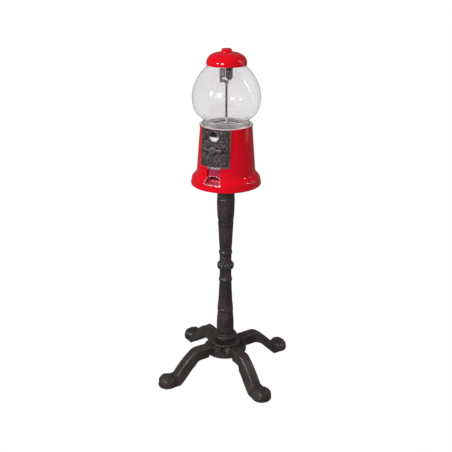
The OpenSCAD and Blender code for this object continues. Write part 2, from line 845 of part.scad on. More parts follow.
hub();
hub_disc();
leg_at(0);  // front_right_leg
leg_at(90);  // rear_right_leg
leg_at(180);  // rear_left_leg
leg_at(270);  // front_left_leg
leg_bolts();
lower_column();
middle_collar();
upper_column();
stand_top_plate();
tie_rod();
tie_rod_nuts();
base_plate();
base_screws();
machine_bolts();
machine_nuts();
body_shell();
faceplate();
coin_seat();
mech_plate();
mech_screws();
pawl_pivot();
pawl_spring();
pawl();
handle();
drive_shaft();
coin_wheel();
ratchet_wheel();
drive_pinion();
gumball_wheel();
hopper_pan();
pan_screws();
ball_guard();
chute();
tray();
chute_door();
door_pin();
globe_gasket();
globe();
center_rod();
rod_sleeve();
rod_nuts();
lock_bracket();
lid_gasket();
lid();
lid_boss();
lock_barrel();
lock_nut();
lock_plug();
lock_cam();
cam_screw();
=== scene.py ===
"""Looks of a gumball machine on its cast-iron pedestal stand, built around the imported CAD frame.

Everything is in metres. Heights and radii come from the frame; the sizes of relief and trim are named here.
"""

import json
import math

import bmesh
import bpy
import numpy as np
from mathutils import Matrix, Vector


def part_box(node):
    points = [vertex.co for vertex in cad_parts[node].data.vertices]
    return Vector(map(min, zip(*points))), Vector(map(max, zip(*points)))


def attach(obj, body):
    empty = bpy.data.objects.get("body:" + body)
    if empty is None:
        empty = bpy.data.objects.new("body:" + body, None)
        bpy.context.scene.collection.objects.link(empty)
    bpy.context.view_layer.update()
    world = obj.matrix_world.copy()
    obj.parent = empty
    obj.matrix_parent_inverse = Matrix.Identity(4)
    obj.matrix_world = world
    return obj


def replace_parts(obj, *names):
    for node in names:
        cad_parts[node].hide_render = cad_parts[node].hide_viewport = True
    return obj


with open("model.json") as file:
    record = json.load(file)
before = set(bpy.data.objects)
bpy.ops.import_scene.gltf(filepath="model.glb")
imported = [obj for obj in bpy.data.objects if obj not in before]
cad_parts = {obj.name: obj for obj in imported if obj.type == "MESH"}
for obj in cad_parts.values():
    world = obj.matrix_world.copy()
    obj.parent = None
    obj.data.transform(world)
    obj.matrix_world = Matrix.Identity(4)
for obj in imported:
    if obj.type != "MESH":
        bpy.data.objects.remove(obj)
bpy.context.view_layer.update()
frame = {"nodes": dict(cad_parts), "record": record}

MM = 0.001
STAND = "machine_and_stand"
FRONT = np.array((0.0, -1.0, 0.0))


def steps_around(count):
    """Angles in equal steps around one turn."""
    return np.linspace(0, 2 * math.pi, count, endpoint=False)


# -------------------- camera, floor and light

CAMERA_TURN = math.radians(25)
CAMERA_DISTANCE = 1.867
CAMERA_HEIGHT = 1.207
CAMERA_PITCH = math.radians(22.0)
CAMERA_ROLL = math.radians(0.32)
SENSOR = 36.0
LENS = 57.48
SHIFT = (0.0006, 0.0002)


def add_camera():
    """The photograph's view: from the front right, looking down."""
    data = bpy.data.cameras.new("camera")
    data.sensor_width = SENSOR
    data.lens = LENS
    data.shift_x, data.shift_y = SHIFT
    camera = bpy.data.objects.new("camera", data)
    bpy.context.collection.objects.link(camera)
    camera.location = (
        CAMERA_DISTANCE * math.sin(CAMERA_TURN),
        -CAMERA_DISTANCE * math.cos(CAMERA_TURN),
        CAMERA_HEIGHT,
    )
    ahead = Vector((-math.sin(CAMERA_TURN) * math.cos(CAMERA_PITCH),
                    math.cos(CAMERA_TURN) * math.cos(CAMERA_PITCH),
                    -math.sin(CAMERA_PITCH)))
    camera.rotation_euler = ahead.to_track_quat("-Z", "Y").to_euler()
    camera.rotation_euler.rotate_axis("Z", CAMERA_ROLL)
    bpy.context.scene.camera = camera


STUDIO_RADIUS = 20.0
STUDIO_HEIGHT = 24.0
COVE_CURVE = 4.0
COVE_COLUMNS = 96


def add_studio():
    """A plain white floor that curves up into a white wall all around, as in a photographer's cove."""
    flat = STUDIO_RADIUS - COVE_CURVE
    bend = [(flat + COVE_CURVE * math.sin(t), COVE_CURVE * (1 - math.cos(t)))
            for t in np.linspace(0.1, math.pi / 2, 8)]
    cove = [(flat, 0.0), *bend, (STUDIO_RADIUS, STUDIO_HEIGHT)]
    points = np.array([[(r * math.sin(a), -r * math.cos(a), z) for a in steps_around(COVE_COLUMNS)]
                       for r, z in cove])
    mesh = bpy.data.meshes.new("studio")
    index = np.arange(len(cove) * COVE_COLUMNS).reshape(len(cove), COVE_COLUMNS)
    beside = np.roll(index, -1, axis=1)
    faces = np.stack([index[:-1], beside[:-1], beside[1:], index[1:]], -1).reshape(-1, 4).tolist()
    faces.append(index[0].tolist())
    mesh.from_pydata(points.reshape(-1, 3).tolist(), [], faces)
    mesh.shade_smooth()
    studio = bpy.data.objects.new("studio", mesh)
    bpy.context.collection.objects.link(studio)
    material, shader = principled("studio_white", (0.8, 0.8, 0.8), 1.0, specular=0.0)
    shader.inputs["Emission Color"].default_value = (1, 1, 1, 1)
    shader.inputs["Emission Strength"].default_value = 1.0
    mesh.materials.append(material)
    studio.visible_diffuse = False
    studio.visible_glossy = False
    studio.visible_shadow = False


LIT_POINT = Vector((0, 0, 0.62))
# name, turn, rise, distance, width, height, radiance, and the rays that don't see it
SOFTBOXES = (
    ("left_softbox", -29, 21, 2.6, 0.42, 0.42, 46, None),
    ("front_softbox", 1, 21, 2.6, 0.54, 0.48, 36, None),
    ("right_strip", 112, 31, 2.4, 0.08, 1.0, 20, "visible_transmission"),
    ("right_panel", 128, 12, 2.8, 1.4, 2.0, 0.6, "visible_transmission"),
    ("top_fill", -10, 70, 3.2, 3.4, 3.0, 0.9, "visible_glossy"),
    ("back_fill", 205, 35, 2.6, 1.4, 1.2, 2.0, "visible_glossy"),
    ("right_fill", 62, 15, 2.6, 1.2, 1.2, 1.3, "visible_glossy"),
)


def add_softbox(name, turn, rise, distance, width, tall, radiance, unseen_by):
    """A softbox that faces the machine: turn in degrees from the front toward +X, and rise from level."""
    data = bpy.data.lights.new(name, "AREA")
    data.shape = "RECTANGLE"
    data.size = width
    data.size_y = tall
    data.energy = radiance * math.pi * width * tall
    light = bpy.data.objects.new(name, data)
    bpy.context.collection.objects.link(light)
    turn, rise = math.radians(turn), math.radians(rise)
    out = Vector((math.cos(rise) * math.sin(turn), -math.cos(rise) * math.cos(turn), math.sin(rise)))
    light.location = LIT_POINT + distance * out
    light.rotation_euler = (-out).to_track_quat("-Z", "Y").to_euler()
    if unseen_by:
        setattr(light, unseen_by, False)


def add_lights():
    for softbox in SOFTBOXES:
        add_softbox(*softbox)


WORLD_STRENGTH = 0.16


def add_world():
    world = bpy.data.worlds.new("studio")
    bpy.context.scene.world = world
    world.use_nodes = True
    background = world.node_tree.nodes["Background"]
    background.inputs["Color"].default_value = (1, 1, 1, 1)
    background.inputs["Strength"].default_value = WORLD_STRENGTH


# -------------------- materials

def principled(name, colour, roughness, metallic=0.0, specular=0.5):
    """A new material, and its shader."""
    material = bpy.data.materials.new(name)
    material.use_nodes = True
    shader = material.node_tree.nodes["Principled BSDF"]
    shader.inputs["Base Color"].default_value = (*colour, 1)
    shader.inputs["Roughness"].default_value = roughness
    shader.inputs["Metallic"].default_value = metallic
    shader.inputs["Specular IOR Level"].default_value = specular
    return material, shader


def noise_texture(material, scale, detail=4.0, roughness=0.5):
    """Noise fixed to the piece, as a socket."""
    tree = material.node_tree
    place = tree.nodes.new("ShaderNodeTexCoord")
    noise = tree.nodes.new("ShaderNodeTexNoise")
    noise.inputs["Scale"].default_value = scale
    noise.inputs["Detail"].default_value = detail
    noise.inputs["Roughness"].default_value = roughness
    tree.links.new(place.outputs["Object"], noise.inputs["Vector"])
    return noise.outputs["Fac"]


def ramp(material, source, stops):
    """A colour ramp over a 0 to 1 value; stops are (place, colour)."""
    tree = material.node_tree
    node = tree.nodes.new("ShaderNodeValToRGB")
    while len(node.color_ramp.elements) < len(stops):
        node.color_ramp.elements.new(0.5)
    for element, (place, colour) in zip(node.color_ramp.elements, stops):
        element.position = place
        element.color = (*colour, 1)
    tree.links.new(source, node.inputs["Fac"])
    return node.outputs["Color"]


def mottled(material, scale, dark, light, dark_to=0.3, light_from=0.7):
    """A colour that drifts between two over the surface, as a socket."""
    return ramp(material, noise_texture(material, scale), [(dark_to, dark), (light_from, light)])


def link_colour(material, shader, colour):
    material.node_tree.links.new(colour, shader.inputs["Base Color"])


def mix_colour(material, factor, a, b):
    """A mix of two colours; a is a socket, and b a socket or a colour."""
    tree = material.node_tree
    node = tree.nodes.new("ShaderNodeMix")
    node.data_type = "RGBA"
    tree.links.new(factor, node.inputs["Factor"])
    tree.links.new(a, node.inputs["A"])
    if isinstance(b, tuple):
        node.inputs["B"].default_value = (*b, 1)
    else:
        tree.links.new(b, node.inputs["B"])
    return node.outputs["Result"]


def add_grain(material, shader, scale, strength, depth, detail=4.0, roughness=0.5):
    """A bump of fine noise."""
    tree = material.node_tree
    bump = tree.nodes.new("ShaderNodeBump")
    bump.inputs["Strength"].default_value = strength
    bump.inputs["Distance"].default_value = depth
    tree.links.new(noise_texture(material, scale, detail, roughness), bump.inputs["Height"])
    tree.links.new(bump.outputs["Normal"], shader.inputs["Normal"])


def grey(value):
    return (value, value, value)


def shaded(colour, share):
    return tuple(share * c for c in colour)


def maths(material, operation, a, b):
    """A maths node; a is a socket, and b a socket or a number."""
    tree = material.node_tree
    node = tree.nodes.new("ShaderNodeMath")
    node.operation = operation
    tree.links.new(a, node.inputs[0])
    if isinstance(b, (int, float)):
        node.inputs[1].default_value = b
    else:
        tree.links.new(b, node.inputs[1])
    return node.outputs[0]


def multiplied(material, a, b):
    return maths(material, "MULTIPLY", a, b)


def place_on_axes(material):
    """The point's own x, y and z on the machine, as three sockets."""
    tree = material.node_tree
    place = tree.nodes.new("ShaderNodeTexCoord")
    parts = tree.nodes.new("ShaderNodeSeparateXYZ")
    tree.links.new(place.outputs["Object"], parts.inputs[0])
    return parts.outputs


def between_heights(material, low, high):
    """1 between two heights and 0 elsewhere, as a socket."""
    z = place_on_axes(material)["Z"]
    above = maths(material, "GREATER_THAN", z, low)
    return multiplied(material, above, maths(material, "LESS_THAN", z, high))


def radius_squared(material):
    x, y, _ = place_on_axes(material)
    return maths(material, "ADD", multiplied(material, x, x), multiplied(material, y, y))


def colour_and_wear(material, shader, dark, light, scale, worn, wear_from, wear_to):
    """Blotchy base colour, lighter where an edge stands out."""
    base = mottled(material, scale, dark, light, 0.35, 0.68)
    shape = material.node_tree.nodes.new("ShaderNodeNewGeometry")
    edge = ramp(material, shape.outputs["Pointiness"], [(wear_from, grey(0)), (wear_to, grey(1))])
    patch = mottled(material, scale * 6, grey(0.1), grey(1), 0.35, 0.6)
    link_colour(material, shader, mix_colour(material, multiplied(material, edge, patch), base, worn))


def roughness_variation(material, shader, low, high, scale):
    tone = mottled(material, scale, grey(low), grey(high))
    material.node_tree.links.new(tone, shader.inputs["Roughness"])


IRON_DARK = (0.028, 0.021, 0.020)
IRON_LIGHT = (0.053, 0.042, 0.040)
IRON_WORN = (0.17, 0.145, 0.14)
ENAMEL_DARK = (0.72, 0.0, 0.009)
ENAMEL_LIGHT = (0.78, 0.0, 0.013)
# Near-white of the bare seat, bright as painted light where the seat lies in shade
SEAT_DARK = (0.86, 0.80, 0.81)
SEAT_LIGHT = (0.94, 0.88, 0.89)
GLASS_DARK = (0.866, 0.855, 0.858)
GLASS_LIGHT = (0.886, 0.875, 0.878)

BODY_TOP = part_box("body_shell")[1].z
# The body's bare seat inside the rim, coloured near-white as painted light where it lies in shade, as two
# rings: lowest and highest place from the body's top, and outer radius
LIT_BARE_SEAT = ((-9.0 * MM, -0.2 * MM, 67.2 * MM), (-0.4 * MM, 1.0 * MM, 70.2 * MM))
NECK_FROST = (BODY_TOP - 4.0 * MM, BODY_TOP + 12.5 * MM)

COIN_Z = sum(v.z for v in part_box("coin_seat")) / 2
COIN_LIP_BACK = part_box("coin_seat")[0].y + 2.2 * MM
COIN_HOLE_BACK = -30 * MM
RELIEF_DEPTH = 2.4 * MM


def cast_iron(name="cast_iron_paint", shade=1.0):
    """Dark paint on rough cast iron, worn on its edges; a lower shade darkens it all, as painted shade."""
    dark, light, worn = (shaded(colour, shade) for colour in (IRON_DARK, IRON_LIGHT, IRON_WORN))
    material, shader = principled(name, dark, 0.42)
    colour_and_wear(material, shader, dark, light, 28, worn, 0.515, 0.58)
    roughness_variation(material, shader, 0.30, 0.46, 60)
    add_grain(material, shader, 900, 0.35, 0.6 * MM, 5, 0.6)
    return material


def red_enamel(name="red_enamel_paint", lit_bare_seat=False):
    """Gloss paint. On the body it is masked off the seat of the globe, inside the rim, which is bare and
    near-white: painted light on a seat in shade.
    """
    material, shader = principled(name, ENAMEL_LIGHT, 0.05, specular=0.4)
    colour = mottled(material, 9, ENAMEL_DARK, ENAMEL_LIGHT)
    if lit_bare_seat:
        rings = []
        for low, high, radius in LIT_BARE_SEAT:
            inside = maths(material, "LESS_THAN", radius_squared(material), radius ** 2)
            level = between_heights(material, BODY_TOP + low, BODY_TOP + high)
            rings.append(multiplied(material, level, inside))
        bare = maths(material, "MAXIMUM", *rings)
        # painted light: the seat is made near-white so that it reads light in the shade inside the rim
        colour = mix_colour(material, bare, colour, mottled(material, 200, SEAT_DARK, SEAT_LIGHT))
    link_colour(material, shader, colour)
    add_grain(material, shader, 160, 0.003, 0.2 * MM, 2)
    return material


def black_casting():
    """Black paint, worn to grey on its edges."""
    material, shader = principled("black_casting_paint", (0.03, 0.028, 0.028), 0.38, specular=0.45)
    colour_and_wear(material, shader, (0.034, 0.023, 0.025), (0.060, 0.043, 0.047), 60,
                    (0.30, 0.26, 0.27), 0.505, 0.57)
    roughness_variation(material, shader, 0.30, 0.44, 120)
    add_grain(material, shader, 1500, 0.3, 0.4 * MM, 4, 0.6)
    return material


def relief_height(material, low_radius, low_z, slope):
    """How far a point stands out from a cone, as a socket in metres."""
    z = place_on_axes(material)["Z"]
    cone = maths(material, "ADD", multiplied(material, z, slope), low_radius - slope * low_z)
    return maths(material, "SUBTRACT", maths(material, "SQRT", radius_squared(material), 0.0), cone)


def ornate_casting(low_radius, low_z, slope):
    """Black paint worn through to grey where the cast ornament stands out; the grey also stands as a
    painted highlight, for glints on the relief.
    """
    material, shader = principled("black_casting_relief_wear_and_highlight", (0.05, 0.04, 0.04), 0.36)
    height = maths(material, "DIVIDE", relief_height(material, low_radius, low_z, slope), RELIEF_DEPTH)
    base = mottled(material, 60, (0.034, 0.020, 0.022), (0.062, 0.039, 0.043), 0.35, 0.68)
    # worn grey on the raised ornament, also a painted highlight for its glints
    worn = mottled(material, 350, (0.12, 0.10, 0.105), (0.34, 0.30, 0.31), 0.35, 0.65)
    share = multiplied(material, ramp(material, height, [(0.30, grey(0)), (0.80, grey(1))]),
                       mottled(material, 240, grey(0.15), grey(1), 0.38, 0.58))
    link_colour(material, shader, mix_colour(material, share, base, worn))
    roughness_variation(material, shader, 0.28, 0.42, 120)
    add_grain(material, shader, 1500, 0.3, 0.4 * MM, 4, 0.6)
    return material


METAL_MOTTLE = 300


def bare_metal(name, colour, roughness, bump=0.15):
    """Plated or bare metal, unevenly bright."""
    material, shader = principled(name, colour, roughness, metallic=1.0)
    link_colour(material, shader, mottled(material, METAL_MOTTLE, shaded(colour, 0.82), colour, 0.35, 0.65))
    roughness_variation(material, shader, roughness * 0.8, roughness * 1.25, METAL_MOTTLE / 2)
    add_grain(material, shader, METAL_MOTTLE * 4, bump, 0.2 * MM, 3)
    return material


def pale_zinc():
    """Bright plating on the parts that show, dark inside the coin hole as painted shade."""
    material, shader = principled("bright_zinc_cast", grey(0.90), 0.42, metallic=0.35)
    tone = mottled(material, 300, grey(0.80), grey(0.95))
    # painted shade: near-black behind the lip, inside the coin hole
    hole_shade = mottled(material, 300, grey(0.015), grey(0.04))
    behind_lip = maths(material, "GREATER_THAN", place_on_axes(material)["Y"], COIN_LIP_BACK)
    in_hole = maths(material, "LESS_THAN", place_on_axes(material)["Y"], COIN_HOLE_BACK)
    shaded_hole = multiplied(material, behind_lip, in_hole)
    link_colour(material, shader, mix_colour(material, shaded_hole, tone, hole_shade))
    add_grain(material, shader, 1200, 0.1, 0.2 * MM, 3)
    return material


def clear_glass():
    """Blown glass, ground a little dull around the neck."""
    material, shader = principled("clear_globe_glass", grey(1), 0.0)
    shader.inputs["Transmission Weight"].default_value = 1.0
    shader.inputs["IOR"].default_value = 1.47
    link_colour(material, shader, mottled(material, 5, GLASS_DARK, GLASS_LIGHT))
    ground = multiplied(material, between_heights(material, *NECK_FROST), noise_texture(material, 400))
    frost = ramp(material, ground, [(0, grey(0)), (0.5, grey(0.32))])
    material.node_tree.links.new(frost, shader.inputs["Roughness"])
    add_grain(material, shader, 14, 0.003, 1 * MM, 1)
    return material


def mottled_finish(name, dark, light, roughness, metallic=0.0, scale=90, spread=(0.3, 0.7),
                   grain=900, detail=4.0, bump=0.1, depth=0.2 * MM):
    """A surface whose colour drifts between two, with a fine grain in it."""
    material, shader = principled(name, dark, roughness, metallic=metallic)
    link_colour(material, shader, mottled(material, scale, dark, light, *spread))
    add_grain(material, shader, grain, bump, depth, detail)
    return material


def tinted_plate(name, dark, light, roughness, metallic):
    """Smooth painted or plated sheet with a slow drift of colour."""
    return mottled_finish(name, dark, light, roughness, metallic, 70, (0.35, 0.65), 300, bump=0.05)


MATERIALS = {
    "cast_iron": cast_iron(),
    "dark_steel": bare_metal("blackened_steel", (0.10, 0.095, 0.09), 0.45),
    "zinc_plated_steel": bare_metal("zinc_plate", (0.34, 0.34, 0.36), 0.4),
    "red_enamel": red_enamel(),
    "black_casting": black_casting(),
    "bright_zinc": pale_zinc(),
    "hard_steel": bare_metal("bare_hard_steel", (0.42, 0.42, 0.43), 0.3),
    "polished_steel": bare_metal("polished_rod_steel", (0.15, 0.13, 0.13), 0.2, bump=0.03),
    "chrome_sheet": bare_metal("chromed_sheet", (0.85, 0.85, 0.87), 0.12, bump=0.04),
    "grey_casting": bare_metal("grey_die_casting", (0.80, 0.78, 0.79), 0.5),
    "white_plastic": mottled_finish("moulded_white_plastic", (0.70, 0.69, 0.65), (0.80, 0.79, 0.75), 0.35,
                                    scale=50, grain=700, depth=0.3 * MM),
    "grey_sheet": mottled_finish("grey_sheet_steel", (0.22, 0.20, 0.22), (0.30, 0.28, 0.30), 0.6, 0.3,
                                 scale=120, detail=3),
    "lock_steel": bare_metal("dark_nickel", (0.12, 0.11, 0.115), 0.24),
    "clear_glass": clear_glass(),
    "black_rubber": mottled_finish("soft_black_rubber", grey(0.015), grey(0.03), 0.7,
                                   grain=1200, bump=0.3, depth=0.3 * MM),
}
SLOT_OF = {row["node"]: row["material_slot"] for row in frame["record"]["subparts"]}

# Finishes of single pieces, which differ from their slot's. Several carry painted shade, painted light and
# painted reflection, as noted at each.
# The hub's iron is darkened as painted shade around the hub.
HUB_SHADED_PAINT = cast_iron("cast_iron_hub_painted_shade", 0.75)
# The seal's pale pink paints the light line reflected under the lid: a painted reflection.
PALE_SEAL_REFLECTION = mottled_finish("pale_seal_painted_reflection", (0.68, 0.63, 0.63), (0.78, 0.73, 0.73), 0.4)
BRIGHT_SLEEVE = bare_metal("bright_sleeve_plate", (0.92, 0.91, 0.91), 0.25, bump=0.03)
# The flap's red is darker and bluer than the body's: painted shade in the opening, and a painted
# reflection.
FLAP_SHADED_PAINT = tinted_plate("crimson_flap_painted_shade", (0.36, 0.010, 0.05), (0.54, 0.03, 0.095), 0.3, 0.1)
# Pink metal of the rolled edges: the pink paints the red reflected in them, a painted reflection.
ROSY_REFLECTION_METAL = tinted_plate("rosy_edge_painted_reflection", (0.72, 0.40, 0.44), (0.90, 0.58, 0.62), 0.25, 0.7)
# The strip's pink tint is a painted reflection of the red body around it.
STRIP_REFLECTION_METAL = tinted_plate("rosy_strip_painted_reflection", (0.22, 0.11, 0.13), (0.42, 0.27, 0.30), 0.35, 0.5)
OWN_FINISH_AND_PAINTED_LIGHT = {
    "body_shell": red_enamel("red_enamel_body_paint", lit_bare_seat=True),
    # The tray's pinker red is a painted reflection.
    "tray": tinted_plate("tray_painted_reflection", (0.62, 0.04, 0.07), (0.80, 0.08, 0.13), 0.3, 0.15),
    # The chute's dark red is painted shade inside the opening.
    "chute": tinted_plate("chute_painted_shade", (0.20, 0.004, 0.018), (0.28, 0.008, 0.026), 0.4, 0.0),
    # The disc under the hub is darker still, as painted shade under the hub.
    "hub_disc": cast_iron("cast_iron_disc_painted_shade", 0.45),
}


def paint_cad_nodes():
    """Every CAD node gets the detailed material of its slot, unless it has a finish of its own, which in
    places carries painted shade, painted light and painted reflection.
    """
    for name, node in frame["nodes"].items():
        node.data.materials.clear()
        node.data.materials.append(OWN_FINISH_AND_PAINTED_LIGHT.get(name, MATERIALS[SLOT_OF[name]]))


# -------------------- mesh helpers

def as_piece(mesh, body, node, material=None):
    """Puts a mesh in the scene on a body, in a CAD node's material or in one of its own."""
    piece = bpy.data.objects.new(mesh.name, mesh)
    bpy.context.collection.objects.link(piece)
    mesh.materials.append(material or MATERIALS[SLOT_OF[node]])
    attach(piece, body)
    return piece


def as_node(mesh, body, node, material=None):
    """Puts a mesh in the scene in the place of a CAD node."""
    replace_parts(as_piece(mesh, body, node, material), node)


def grid_mesh(name, points, around=True, caps=False):
    """A smooth mesh over a grid of points. Rows run along the first index, and around the second."""
    rows, columns = points.shape[:2]
    index = np.arange(rows * columns).reshape(rows, columns)
    beside = np.roll(index, -1, axis=1)
    if not around:
        index, beside = index[:, :-1], beside[:, :-1]
    faces = np.stack([index[:-1], beside[:-1], beside[1:], index[1:]], -1).reshape(-1, 4).tolist()
    if caps:
        faces.append(list(range(columns))[::-1])
        faces.append([(rows - 1) * columns + i for i in range(columns)])
    mesh = bpy.data.meshes.new(name)
    mesh.from_pydata(points.reshape(-1, 3).tolist(), [], faces)
    mesh.shade_smooth()
    mesh.set_sharp_from_angle(angle=math.radians(40))
    return mesh


def tube(name, spots, radius):
    """A round bead along a path that never runs straight to the front."""
    along = np.gradient(spots, axis=0)
    along /= np.linalg.norm(along, axis=1)[:, None]
    out = FRONT - along * (along @ FRONT)[:, None]
    out /= np.linalg.norm(out, axis=1)[:, None]
    side = np.cross(along, out)
    angle = steps_around(12)[None, :, None]
    around = np.cos(angle) * out[:, None, :] + np.sin(angle) * side[:, None, :]
    return grid_mesh(name, spots[:, None, :] + radius * around, caps=True)


def outline(node, step):
    """Heights, and the outer radius of a round CAD node at each."""
    mesh = frame["nodes"][node].data
    spots = np.array([v.co for v in mesh.vertices])
    ends = np.array([e.vertices[:] for e in mesh.edges])
    a, b = spots[ends[:, 0]], spots[ends[:, 1]]
    low, high = spots[:, 2].min(), spots[:, 2].max()
    heights = np.linspace(low + 1e-6, high - 1e-6, int((high - low) / step) + 2)
    radii = []
    for z in heights:
        crossing = ((a[:, 2] - z) * (b[:, 2] - z) <= 0) & (a[:, 2] != b[:, 2])
        p, q = a[crossing], b[crossing]
        share = ((z - p[:, 2]) / (q[:, 2] - p[:, 2]))[:, None]
        at = p + share * (q - p)
        radii.append(np.hypot(at[:, 0], at[:, 1]).max())
    return heights, np.array(radii)


def smoothed(values, width):
    """A running mean that keeps the ends."""
    padded = np.concatenate([np.full(width, values[0]), values, np.full(width, values[-1])])
    kernel = np.ones(2 * width + 1) / (2 * width + 1)
    return np.convolve(padded, kernel, mode="valid")


def revolved_shell(name, profile, columns, weld_gap=0.01 * MM):
    """A hollow ring: a closed (radius, height) profile, whose last point is its first, turned about Z."""
    angle = steps_around(columns)
    r, z = profile[:, 0:1], profile[:, 1:2]
    mesh = grid_mesh(name, np.stack([r * np.sin(angle), -r * np.cos(angle), z + 0 * angle], -1))
    weld = bmesh.new()
    weld.from_mesh(mesh)
    bmesh.ops.remove_doubles(weld, verts=weld.verts, dist=weld_gap)
    bmesh.ops.recalc_face_normals(weld, faces=weld.faces)
    weld.to_mesh(mesh)
    weld.free()
    return mesh


def turned(name, heights, radii, columns, relief=None):
    """A closed solid of revolution; relief(heights, angles), if any, is added to the radius."""
    z, a = np.meshgrid(heights, steps_around(columns), indexing="ij")
    r = np.repeat(radii[:, None], columns, axis=1)
    if relief is not None:
        r = r + relief(z, a)
    points = np.stack([r * np.sin(a), -r * np.cos(a), z], -1)
    return grid_mesh(name, points, caps=True)


def ramped(value, start, end):
    """0 before start, 1 after end, and smooth between them."""
    t = np.clip((value - start) / (end - start), 0, 1)
    return t * t * (3 - 2 * t)


def wave(angle):
    """0 to 1 and back, once in each turn."""
    return 0.5 - 0.5 * np.cos(angle)


def band(value, low, high, edge):
    """1 between two heights, fading to 0 over the edge at each end."""
    return ramped(value, low, low + edge) * (1 - ramped(value, high - edge, high))


def leaf(across, up):
    """Relief of a pointed leaf. across is 0 at its rib and 1 at its widest; up runs from 0 to 1."""
    up = np.clip(up, 0, 1)
    half = 0.02 + np.sin(math.pi * up ** 0.7) ** 0.8 * (1 + 0.10 * np.cos(up * 44))
    inside = np.clip(1 - (across / half) ** 2, 0, 1) ** 0.5
    veins = 0.20 * np.cos(2 * math.pi * (up * 7 - np.abs(across) * 1.6))
    rib = 0.35 * np.exp(-(across / 0.10) ** 2)
    return inside * (0.62 + veins + rib) * (inside > 0)


def leaves_around(angle, height, count, low, high, shift=0.0):
    """A ring of leaves that stand between two heights."""
    across = ((angle * count / (2 * math.pi) + shift) % 1.0 - 0.5) * 2
    up = (height - low) / (high - low)
    return leaf(across * 1.08, up) * ((up > 0) & (up < 1))


# -------------------- stand

def span(node):
    """Lowest and highest height of a CAD node."""
    low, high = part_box(node)
    return low.z, high.z


def between(node, share):
    """The height at a share of a CAD node's own height."""
    low, high = span(node)
    return low + share * (high - low)


def zone(node, z, low, high, edge):
    """1 between two shares of a node's height, fading to 0 over the edge at each end."""
    return band(z, between(node, low), between(node, high), edge)


def leaf_ring(node, z, a, count, low, high, shift=0.0):
    """Leaves that stand between two shares of a node's height."""
    return leaves_around(a, z, count, between(node, low), between(node, high), shift)


def hanging_leaf_ring(node, z, a, count, low, high, shift=0.0):
    return leaves_around(-a, -z, count, -between(node, high), -between(node, low), shift)


def add_turned_piece(name, node, columns, relief, step=1.0 * MM, material=None):
    """Turns a CAD node's own outline again, with relief on it."""
    heights, radii = outline(node, step)
    as_node(turned(name, heights, smoothed(radii, 1), columns, relief), STAND, node, material)


def upper_column_relief(z, a):
    """Flutes below, a collar line, and two rows of leaves above."""
    node = "upper_column"
    flutes = zone(node, z, 0.165, 0.545, 5 * MM) * wave(14 * a)
    leaves = np.maximum(leaf_ring(node, z, a, 6, 0.555, 0.80),
                        leaf_ring(node, z, a, 6, 0.61, 0.865, 0.5))
    field = zone(node, z, 0.55, 0.872, 2 * MM)
    groove = zone(node, z, 0.885, 0.91, 1.5 * MM)
    small_rings = zone(node, z, 0.01, 0.085, 1 * MM) * wave((z - between(node, 0)) / MM * 1.1)
    return MM * (-1.5 * flutes - field * (1.7 - 1.9 * leaves) - 0.8 * groove - 0.9 * small_rings)


def lower_column_relief(z, a):
    """Flutes at both ends, with leaves that stand and leaves that hang between them."""
    node = "lower_column"
    upper_flutes = zone(node, z, 0.56, 0.91, 5 * MM) * wave(12 * a)
    leaves = leaf_ring(node, z, a, 8, 0.425, 0.56)
    field = zone(node, z, 0.42, 0.55, 3 * MM)
    lower_leaves = hanging_leaf_ring(node, z, a, 8, 0.24, 0.365, 0.5)
    lower_field = zone(node, z, 0.25, 0.37, 3 * MM)
    lower_flutes = zone(node, z, 0.02, 0.25, 4 * MM) * wave(16 * a)
    return MM * (-1.0 * upper_flutes - field * (1.2 - 1.7 * leaves)
                 - lower_field * (1.2 - 1.7 * lower_leaves) - 1.2 * lower_flutes)


def collar_relief(z, a):
    """Round lobes on the ball, a waist around it, and flutes on the neck below."""
    node = "middle_collar"
    ball = zone(node, z, 0.48, 0.97, 5 * MM)
    lobes = np.abs(np.cos(7 * a)) ** 0.7
    neck = zone(node, z, 0.02, 0.46, 2 * MM)
    waist = np.exp(-((z - between(node, 0.72)) / (1.2 * MM)) ** 2)
    return MM * (-2.6 * ball * (1 - lobes) - 1.5 * neck * wave(14 * a) - 0.7 * ball * waist)


def add_column():
    add_turned_piece("upper_column_fluted", "upper_column", 168, upper_column_relief)
    add_turned_piece("middle_collar_lobed", "middle_collar", 168, collar_relief, 0.6 * MM)
    add_turned_piece("lower_column_fluted", "lower_column", 160, lower_column_relief)


def hub_relief(z, a):
    """A beaded edge on the wide flange."""
    return -0.9 * MM * zone("hub", z, 0.30, 0.44, 2 * MM) * wave(36 * a)


def add_hub():
    add_turned_piece("hub_turned", "hub", 180, hub_relief, 0.6 * MM, HUB_SHADED_PAINT)


def bezier(a, b, c, d, t):
    """Points at t along the curve from a to d that heads for b and comes in from c."""
    a, b, c, d = (np.array(p, float) for p in (a, b, c, d))
    t = np.asarray(t)[:, None]
    return a * (1 - t) ** 3 + 3 * b * t * (1 - t) ** 2 + 3 * c * t ** 2 * (1 - t) + d * t ** 3


def foot_direction(node):
    """Angle from the front to the end of a leg, and how far out it reaches."""
    spots = np.array([v.co for v in frame["nodes"][node].data.vertices])
    reach = np.hypot(spots[:, 0], spots[:, 1])
    tip = spots[reach > reach.max() - 2 * MM].mean(0)
    return math.atan2(tip[0], -tip[1]), np.abs(spots @ (tip * (1, 1, 0)) / np.hypot(tip[0], tip[1])).max()


def turned_by(points, angle):
    """Turns points about the upright axis, counting from -Y toward +X."""
    s, c = math.sin(angle), math.cos(angle)
    x, y = points[..., 0].copy(), points[..., 1].copy()
    points[..., 0] = x * c - y * s
    points[..., 1] = x * s + y * c
    return points


FOOT_RADIUS = 28 * MM
ROOT_ROWS, BEND_ROWS, FOOT_ROWS = 26, 64, 10
